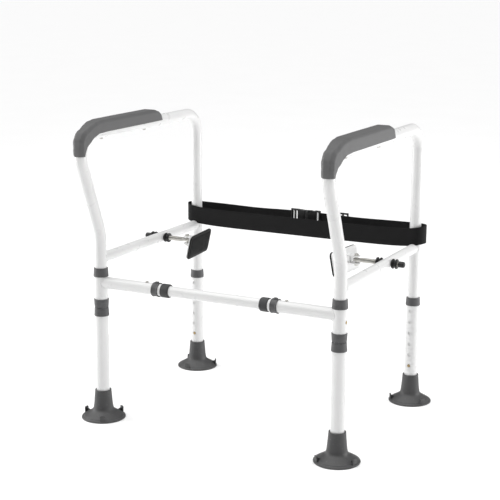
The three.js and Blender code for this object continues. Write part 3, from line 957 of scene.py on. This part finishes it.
# ---- Suction feet --------------------------------------------------------------------------
# A soft grey rubber foot on each leg: a thin wide disc, cupped beneath, that sweeps up into a
# tapered neck round the tube, with three tabs to peel it off the floor.


def foot_rubber_finish():
    material, place = new_finish("foot_rubber")
    cloud = place.noise(30.0, 4)
    grain = place.noise(900.0, 3)
    scuffs = place.noise(210.0, 5).ramp((0.62, 0), (0.78, 1))
    tone = cloud.colours((0.044, 0.044, 0.045), (0.063, 0.063, 0.064))
    worn = (0.35 * scuffs).colours(tone, (0.17, 0.17, 0.17))
    return coat_with(
        material,
        height=grain + 0.8 * cloud,
        depth=0.09 * MM,
        Base_Color=worn,
        Roughness=0.4 + 0.2 * cloud,
    )


foot_rubber = foot_rubber_finish()


def foot_shape(disc, neck_top, floor_of_bore):
    """The turned part of a foot, in millimetres: its cupped disc, its neck and the bore for the leg."""
    bore = sleeve_radius / MM + 0.15
    return lathed([
        (0, 4.6),
        (20, 4.2),
        (36, 2.6, 4),
        (40, 0, 0.6),
        (disc, 0, 0.8),
        (disc, 2.3, 0.9),
        (disc - 2.4, 4.4, 1.2),
        (disc - 4.2, 4.4, 0.8),
        (disc - 5.4, 6.2, 1.2),
        (31, 12.4, 9),
        (22.6, 18.6, 9),
        (20.6, 27, 9),
        (17.6, neck_top, 1.3),
        (15.4, neck_top, 0.9),
        (bore, neck_top - 2.5, 0.4),
        (bore, floor_of_bore),
        (0, floor_of_bore),
    ], 1, 120, False, 6)


def release_tab():
    """One tab along +X: an upright flap near the rim of the disc, with a gusset behind it."""
    outline = rounded([(-6.2, 3.5), (6.2, 3.5), (5.6, 16.6), (-5.6, 16.6)], 2.4)
    out, middle_height, lean_per_mm = 44.2, 10, 0.05
    layers = []
    for offset, shrink in ((-1.5, 0.86), (-1.2, 0.96), (-0.6, 1.0), (0.6, 1.0), (1.2, 0.96), (1.5, 0.86)):
        layer = []
        for point in outline:
            height = middle_height + (point.y - middle_height) * shrink
            lean = out + lean_per_mm * (height - middle_height) + offset
            layer.append(Vector((lean, point.x * shrink, height)) * MM)
        layers.append(layer)
    gusset = []
    for across in (-1.3, -0.9, 0.9, 1.3):
        trim = 0.5 if abs(across) > 1 else 0
        gusset.append([
            Vector((32 + trim, across, 8)) * MM,
            Vector((44, across, 4)) * MM,
            Vector((44, across, 14 - trim)) * MM,
            Vector((40, across, 12.6 - trim)) * MM,
        ])
    return joined(skin(layers), skin(gusset))


tab_turns = {"left_front": 60, "left_rear": 25, "right_front": -15, "right_rear": 90}
for side, _ in SIDES:
    for end, _ in ENDS:
        node = f"{side}_{end}_foot"
        middle = centre_of(f"{side}_{end}_leg_tube")
        low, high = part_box(node)
        bore_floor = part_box(f"{side}_{end}_leg_tube")[0].z - 0.15 * MM
        shape = foot_shape(47.5, high.z / MM, bore_floor / MM)
        tabs = [moved(release_tab(), spun(turn + tab_turns[f"{side}_{end}"], "Z")) for turn in (0, 120, 240)]
        stand_for(node, moved(joined(shape, *tabs), at(middle.x, middle.y, 0)), foot_rubber, crease=40)

# ---- Bowl clamps ---------------------------------------------------------------------------
# A zinc-plated M10 rod runs through each side bar with a black hand nut on each side of it and
# a plug on its end. A white pressed plate with a ribbed rubber pad swivels on its inner eye.


black_plastic = cloudy_finish(
    "black_plastic", (90.0, 3), (2100.0, 2), 0.04,
    (0.003, 0.003, 0.0033), (0.007, 0.007, 0.0075), 0.34, 0.22,
)
pad_rubber = cloudy_finish(
    "pad_rubber", (70.0, 4), (1200.0, 3), 0.08,
    (0.003, 0.003, 0.003), (0.008, 0.008, 0.008), 0.62, 0.2, Specular_IOR_Level=0.35,
)
thread_pitch = 1.5 * MM
rod_radius = 5 * MM


def threaded_rod(start, end, eye_end):
    """A rod along X from start to end, threaded past eye_end and flattened before it."""
    sides, steps_per_pitch = 28, 6
    flat, thread_depth, plain = 3.4 * MM, 0.75 * MM, rod_radius - 0.05 * MM
    step = thread_pitch / steps_per_pitch
    rings = []
    for i in range(int((end - start) / step) + 1):
        x = start + step * i
        bevel = min(1.0, 0.82 + 0.18 * min(x - start, end - x) / (1.2 * MM))
        blend = min(1, max(0, (x - eye_end) / (2 * MM)))
        limit = flat + (rod_radius - flat) * blend
        ring = []
        for k in range(sides):
            turn = 2 * pi * k / sides
            wave = (x / thread_pitch - k / sides) % 1.0
            crest = 1 - abs(2 * wave - 1)
            threaded = rod_radius - thread_depth * (1 - min(1, 1.25 * crest))
            radius = (plain + (threaded - plain) * blend) * bevel
            ring.append(Vector((x, radius * cos(turn), max(-limit, min(limit, radius * sin(turn))))))
        rings.append(ring)
    return skin(rings)


def hand_nut(length):
    """Two fluted flanges with a plain waist, in millimetres."""
    bore, rim, waist = rod_radius / MM + 0.15, 10.5, 6.9
    return lathed([
        (bore, 0, 0.5),
        (9.9, 0, 1.1),
        (rim, 1.6, 1),
        (rim, 3.3, 1),
        (waist, 5.0, 0.8),
        (waist, length - 5.0, 0.8),
        (rim, length - 3.3, 1),
        (rim, length - 1.6, 1),
        (9.9, length, 1.1),
        (bore, length, 0.5),
    ], 0.6, 180, flutes=18, flute_depth=0.75 * MM, flute_from=9.3 * MM)


def sheet(outline, faces_at, ease=0.4 * MM):
    """A flat sheet in the YZ plane with eased edges, between the two X places in faces_at."""
    near, far = faces_at
    middle = sum(outline, Vector((0, 0))) / len(outline)
    layers = []
    for x, shrink in ((near, ease), (near + ease * 0.3, ease * 0.3), (near + ease, 0),
                      (far - ease, 0), (far - ease * 0.3, ease * 0.3), (far, ease)):
        layer = []
        for point in outline:
            spoke = point - middle
            inner = middle + spoke * (1 - shrink / spoke.length)
            layer.append(Vector((x, inner.x, inner.y)))
        layers.append(layer)
    return skin(layers)


def rectangle(width, height, radius, steps=8):
    """An outline with round corners, from the middle of a rectangle."""
    w, h = width / 2, height / 2
    outline = []
    for sign_y, sign_z, start in ((1, 1, 0), (-1, 1, 90), (-1, -1, 180), (1, -1, 270)):
        for k in range(steps + 1):
            turn = radians(start + 90 * k / steps)
            outline.append(Vector((sign_y * (w - radius) + radius * cos(turn),
                                   sign_z * (h - radius) + radius * sin(turn))))
    return outline


plate_tilt, plate_yaw = 11.6, 5.5
plate_offset = Vector((-26.6, 0, -6)) * MM
plate_width, plate_height = 110 * MM, 52 * MM
plate_thickness, pad_thickness = 2 * MM, 4.5 * MM
lean = [spun(-plate_tilt, "Y"), at(*plate_offset)]


def clamp_plate_shape():
    """The pressed plate with its raised rim, and the bracket that takes the rod's flat eye."""
    outline = rectangle(plate_width, plate_height, 9 * MM)
    plate = sheet(outline, (-plate_thickness / 2, plate_thickness / 2), 0.7 * MM)
    rim = []
    for narrower, proud in in_mm(((8.8, 0), (5.6, 0.98), (2.4, 1.33), (0.4, 0.84), (-0.4, 0))):
        x = plate_thickness / 2 - 0.3 * MM + proud
        ring = rectangle(plate_width - narrower, plate_height - narrower, 8 * MM)
        rim.append([Vector((x, point.x, point.y)) for point in ring])
    plate = moved(joined(plate, skin(rim)), *lean)
    half_width, half_height, metal = 9 * MM, 9 * MM, 2 * MM
    tip, root, tip_round = 8 * MM, -26.6 * MM, 8.8 * MM
    flange = rounded([(root, -half_width), (tip, -half_width, tip_round),
                      (tip, half_width, tip_round), (root, half_width)], 0.3 * MM, True, 10)
    parts = [plate]
    for sign in (-1, 1):
        slab = sheet(flange, (0, metal), 0.35 * MM)
        points = [Vector((p.y, p.z, sign * (half_height - metal) + sign * p.x)) for p in slab[0]]
        beyond_plate = moved(plain_rod(60, -40, 0, 48), spun(90, "Y"), *lean)
        parts.append(drilled((points, slab[1]), [beyond_plate, plain_rod(2.75, -20, 20)]))
    web = rectangle(2 * half_width - 0.8 * MM, 2 * half_height - metal, 0.6 * MM)
    parts.append(sheet(web, (-14 * MM, -12 * MM), 0.3 * MM))
    return joined(*parts)


def clamp_pad_shape():
    """The pad's rubber face has upright ribs inside a plain border."""
    back = -(plate_thickness / 2 + 0.1 * MM)
    front = -(plate_thickness + pad_thickness) / 2 - 0.3 * MM - pad_thickness / 2
    outline = rectangle(plate_width + 2 * MM, plate_height + 2 * MM, 10 * MM)
    border = sheet(outline, (front + 1.2 * MM, back), 1.0 * MM)
    count, rib_pitch = 19, 5.2 * MM
    rib_outline = rounded(in_mm([(-1.6, -21), (1.6, -21), (1.6, 21), (-1.6, 21)]), 1.4 * MM)
    rib = sheet(rib_outline, (front, front + 1.6 * MM), 0.6 * MM)
    ribs = [moved(rib, at(0, (i - (count - 1) / 2) * rib_pitch, 0)) for i in range(count)]
    return moved(joined(border, *ribs), *lean)


def pivot_bolt_shape(face):
    """A hexagon bolt with two washers and a nut, in millimetres; face is half the bracket's height."""
    shaft, hexagon = 2.55, 4.9
    head = lathed([
        (0, face), (hexagon, face), (hexagon, face + 2.9, 0.3), (hexagon - 0.9, face + 3.4), (0, face + 3.4),
    ], 0.1, 6, False)
    nut = lathed([
        (0, -face - 3.2), (hexagon - 0.6, -face - 3.2), (hexagon, -face - 2.7), (hexagon, -face), (0, -face),
    ], 0.1, 6, False)
    washers = [lathed([(shaft, z), (5.4, z), (5.4, z + 0.7), (shaft, z + 0.7)], 0.2, 48)
               for z in (-face - 0.05, face - 0.65)]
    shank = lathed([
        (0, -face - 4.2), (shaft - 0.5, -face - 4.2), (shaft, -face - 3.6), (shaft, face), (0, face),
    ], 0.1, 32, False)
    return joined(head, nut, shank, *washers)


for side, outward in SIDES:
    facing = spun(0 if outward > 0 else 180, "Z")
    rod_low, rod_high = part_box(f"{side}_clamp_rod")
    bar_x = centre_of(f"{side}_side_bar").x
    level = centre_of(f"{side}_clamp_rod")
    pin = centre_of(f"{side}_pivot_bolt")
    home = at(bar_x, level.y, level.z)
    inner_end = -max(abs(rod_low.x - bar_x), abs(rod_high.x - bar_x))
    outer_end = rod_high.x - bar_x if outward > 0 else bar_x - rod_low.x
    pin_x = outward * (pin.x - bar_x)
    rod = threaded_rod(inner_end, outer_end, pin_x + 9 * MM)
    eye = moved(plain_rod(2.8, -10, 10), at(pin_x, 0, 0))
    stand_for(f"{side}_clamp_rod", moved(drilled(rod, [eye]), facing, home), zinc, crease=30)

    for where in ("outer", "inner"):
        node = f"{side}_{where}_hand_nut"
        low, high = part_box(node)
        nut = moved(hand_nut((high.x - low.x) / MM), spun(90, "Y"), at(low.x, level.y, level.z))
        stand_for(node, nut, black_plastic, crease=36)

    node = f"{side}_rod_cap"
    low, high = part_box(node)
    length = (high.x - low.x) / MM
    inside = rod_radius / MM + 0.15
    plug = lathed([
        (inside, 0),
        (6.5, 0, 0.5),
        (6.3, length - 1.2, 3.2),
        (0.5, length, 1),
        (0, length),
        (0, length - 3),
        (inside, length - 3),
        (inside, 0),
    ], 0.3, 64, False, 6)
    start_x = low.x if outward > 0 else high.x
    plug = moved(plug, spun(outward * 90, "Y"), at(start_x, level.y, level.z))
    stand_for(node, plug, black_plastic, crease=36)

    swivel = [spun(-outward * plate_yaw, "Z"), at(pin_x, 0, 0), facing, home]
    stand_for(f"{side}_clamp_plate", moved(clamp_plate_shape(), *swivel), white_coat, crease=36)
    stand_for(f"{side}_clamp_pad", moved(clamp_pad_shape(), *swivel), pad_rubber, crease=36)
    stand_for(f"{side}_pivot_bolt", moved(pivot_bolt_shape(9.3), *swivel), zinc, crease=30)

# ---- Strap ---------------------------------------------------------------------------------
# A loop of 40 mm black polyester webbing round both rear uprights. Its front run hangs a
# little low, its rear run is looser, and its doubled tail is kept by a slider.


def webbing_finish():
    material, place = new_finish("black_webbing", "UV")
    along, across = [place.node("SeparateXYZ", {"Vector": place}, axis) for axis in ("X", "Y")]
    columns_per_metre, picks_per_metre, warps_per_metre = 300.0, 620.0, 1100.0
    column = (across * columns_per_metre).math("PINGPONG", 1.0)
    chevron = along * picks_per_metre + column * 1.1
    pick = 0.5 + 0.5 * (chevron * (2 * pi)).math("SINE")
    warp = 0.5 + 0.5 * (across * (2 * pi * warps_per_metre)).math("COSINE")
    weave = pick * 0.7 + warp * 0.3
    fuzz = place.noise(2400.0, 3)
    worn = place.noise(22.0, 3)
    thread = weave.colours((0.0016, 0.0016, 0.0017), (0.0085, 0.0085, 0.009))
    faded = (0.35 * worn).colours(thread, (0.012, 0.012, 0.0125))
    return coat_with(
        material,
        height=weave + 0.3 * fuzz,
        depth=0.28 * MM,
        Base_Color=faded,
        Roughness=0.62 + 0.25 * fuzz,
        Specular_IOR_Level=0.2,
        Sheen_Weight=0.04,
        Sheen_Roughness=0.4,
    )


webbing = webbing_finish()
strap_low, strap_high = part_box("strap")
strap_width = strap_high.z - strap_low.z
strap_mid_z = (strap_low.z + strap_high.z) / 2
strap_thick = 1.5 * MM
front_run_y = strap_low.y + 1.0 * MM
rear_run_y = strap_high.y - 1.0 * MM
loop_radius = (rear_run_y - front_run_y) / 2
loop_x = strap_high.x - 1.0 * MM - loop_radius
buckle_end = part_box("buckle_socket")[1].x
slider_x = centre_of("strap_slider").x
front_hang, hang_length, rear_droop = 10 * MM, 35 * MM, 2.5 * MM
front_steps, turn_steps, rear_steps = 60, 24, 60


def loop_route(outward):
    """Mid-line of one half of the loop: (x, y, height offset) from the front middle to the buckle."""
    route = []
    for k in range(front_steps + 1):
        x = loop_x * k / front_steps
        hang = -front_hang * (1 - exp(-(loop_x + loop_radius - x) / hang_length))
        route.append((x, front_run_y, hang))
    rise_rate = 8.6
    for k in range(1, turn_steps + 1):
        turn = pi * k / turn_steps
        x = loop_x + loop_radius * sin(turn)
        share = 1 - x / (loop_x + loop_radius)
        hang = -front_hang * (1 - exp(-share * rise_rate)) * (1 - k / turn_steps)
        route.append((x, (front_run_y + rear_run_y) / 2 - loop_radius * cos(turn), hang))
    last_x = buckle_end - 6 * MM
    loose_share = 0.78
    for k in range(1, rear_steps + 1):
        share = k / rear_steps
        x = loop_x + (last_x - loop_x) * share
        loose = 6 * MM * sin(pi * share / loose_share) ** 2 if share < loose_share else 0
        droop = -rear_droop * sin(pi * share) ** 2
        route.append((x, rear_run_y + loose, droop))
    return [(outward * x, y, z) for x, y, z in route]


def webbing_band(name, route, offset=lambda x: 0.0, width=strap_width):
    """A woven band with thick selvedges swept along the route, with its UV in metres."""
    half, thick = width / 2 / MM, strap_thick / 2 / MM
    thin = 0.82 * thick
    section = rounded(in_mm([
        (-thick, -half), (thick, -half), (thick, 3 - half), (thin, 4 - half),
        (thin, half - 4), (thick, half - 3), (thick, half), (-thick, half),
        (-thick, half - 3), (-thin, half - 4), (-thin, 4 - half), (-thick, 3 - half),
    ]), 0.5 * MM, True, 3)
    rings, travel = [], [0.0]
    for i, (x, y, hang) in enumerate(route):
        x0, y0, _ = route[max(0, i - 1)]
        x1, y1, _ = route[min(len(route) - 1, i + 1)]
        along = Vector((x1 - x0, y1 - y0)).normalized()
        outside = Vector((along.y, -along.x)) * (1 if route[len(route) // 2][0] > 0 else -1)
        if i:
            travel.append(travel[-1] + (Vector(route[i]) - Vector(route[i - 1])).length)
        ring = []
        for point in section:
            out = point.x + offset(x)
            ring.append(Vector((x + outside.x * out, y + outside.y * out, strap_mid_z + hang + point.y)))
        rings.append(ring)
    points, faces = skin(rings)
    mesh = bpy.data.meshes.new(name)
    mesh.from_pydata(points, [], faces)
    uv = mesh.uv_layers.new(name="along_and_across")
    count = len(section)
    for polygon in mesh.polygons:
        for loop in polygon.loop_indices:
            vertex = mesh.loops[loop].vertex_index
            uv.data[loop].uv = (travel[vertex // count], section[vertex % count].y)
    mesh.shade_smooth()
    mesh.set_sharp_from_angle(angle=radians(50))
    return make_piece(name, mesh, webbing, None)


def over_the_bar(x):
    """The tail lies on the main run, and rises over the middle bar of the slider."""
    apart, rise, half_length = 1.75 * MM, 2.2 * MM, 6.5 * MM
    share = min(1, abs(x - slider_x) / half_length)
    return apart + rise * max(0.0, cos(share * pi / 2)) ** 1.5


for side, outward in SIDES:
    pieces = [webbing_band(f"strap_{side}_half", loop_route(outward))]
    if outward > 0:
        tail_end = slider_x + 62 * MM
        rear_run = loop_route(outward)[front_steps + 1 + turn_steps:]
        run = [Vector(spot) for spot in rear_run if spot[0] < tail_end]
        fine_run = []
        for here, there in zip(run, run[1:]):
            fine_run += [tuple(here.lerp(there, k / 4)) for k in range(4)]
        pieces.append(webbing_band("strap_tail", fine_run, over_the_bar, strap_width - 0.6 * MM))
    for piece in pieces:
        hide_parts("strap")
        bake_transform(piece)

# ---- Buckle and slider ---------------------------------------------------------------------
# Black moulded side-release buckle: a hollow socket with a window on each side, and a tongue
# with two sprung arms whose ends fill the windows. A three-bar slider keeps the tail.


def block_along_x(stations):
    """A block lofted along X through (x, depth, height, corner radius) stations, in millimetres."""
    return skin([[Vector((x, p.x, p.y)) for p in rectangle(depth, height, corner, 6)]
                 for x, depth, height, corner in in_mm(stations)])


def mirrored(stations):
    return [(-x, *section) for x, *section in reversed(stations)]


def opening(x0, x1, z0, z1, corner=1.2):
    """A cutter that passes right through along Y, with rounded corners, in millimetres."""
    middle = Vector((x0 + x1, 0, z0 + z1)) / 2
    outline = rectangle(x1 - x0, z1 - z0, corner, 6)
    return skin([[(middle + Vector((p.x, y, p.y))) * MM for p in outline] for y in (-9, 9)])


buckle_y, buckle_z = centre_of("buckle_socket").y, centre_of("buckle_socket").z
far_end = buckle_end / MM
home = at(0, buckle_y, buckle_z)
webbing_end = [
    (far_end - 1.2, 5.4, 50.0, 2.4),
    (far_end - 0.4, 4.6, 49.4, 2.0),
    (far_end, 3.2, 48.2, 1.4),
]
socket = block_along_x([
    (0.4, 6.6, 44.0, 2.6),
    (0.8, 8.2, 46.0, 3.2),
    (2.0, 9.4, 47.6, 3.6),
    (8.0, 10.0, 48.0, 3.8),
    (15.0, 10.0, 46.4, 3.8),
    (22.0, 10.0, 48.4, 3.8),
    (26.5, 8.6, 50.0, 3.2),
    (29.0, 6.0, 50.0, 2.6),
    *webbing_end,
])
socket = drilled(socket, [
    opening(28.2, 32.8, -21, 21),
    opening(7.5, 21.5, 19.5, 30, 2),
    opening(7.5, 21.5, -30, -19.5, 2),
])
stand_for("buckle_socket", moved(socket, home), black_plastic, crease=32)

tongue = block_along_x([
    *mirrored(webbing_end),
    (-18.0, 5.6, 50.0, 2.6),
    (-12.0, 8.4, 49.0, 3.4),
    (-4.0, 9.4, 47.6, 3.6),
    (-1.2, 9.0, 46.6, 3.4),
    (-0.4, 7.4, 44.8, 2.8),
])
tongue = drilled(tongue, [
    opening(-33.2, -28.4, -21, 21),
    opening(-24.6, -20.2, -21, 21),
])
arms = []
for sign in (-1, 1):
    arm = block_along_x([
        (-1.0, 4.0, 6.0, 1.2),
        (6.0, 4.0, 5.6, 1.2),
        (9.5, 5.6, 6.4, 1.6),
        (15.0, 5.8, 7.2, 1.8),
        (19.5, 5.2, 5.4, 1.6),
        (20.8, 3.6, 2.8, 1.0),
    ])
    arms.append(moved(arm, at(0, 0, sign * 20.8 * MM)))
stand_for("buckle_tongue", moved(joined(tongue, *arms), home), black_plastic, crease=32)

slider_low, slider_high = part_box("strap_slider")
half_slider = (slider_high.x - slider_low.x) / 2 / MM
half_frame = [
    (half_slider - 1.6, 2.8, 50.0, 1.3),
    (half_slider - 0.6, 2.4, 49.4, 1.1),
    (half_slider, 1.4, 47.0, 0.6),
]
end_bars = block_along_x(mirrored(half_frame) + half_frame)
end_bars = drilled(end_bars, [opening(-9.4, 9.4, -20.8, 20.8)])
half_bar = [(1.6, 1.4, 46.0, 0.6), (2.2, 0.5, 46.0, 0.2)]
middle_bar = block_along_x(mirrored(half_bar) + half_bar)
slider = joined(moved(end_bars, at(0, 4.2 * MM, 0)), moved(middle_bar, at(0, 2.3 * MM, 0)))
stand_for("strap_slider", moved(slider, at(slider_x, rear_run_y, buckle_z)), black_plastic, crease=32)
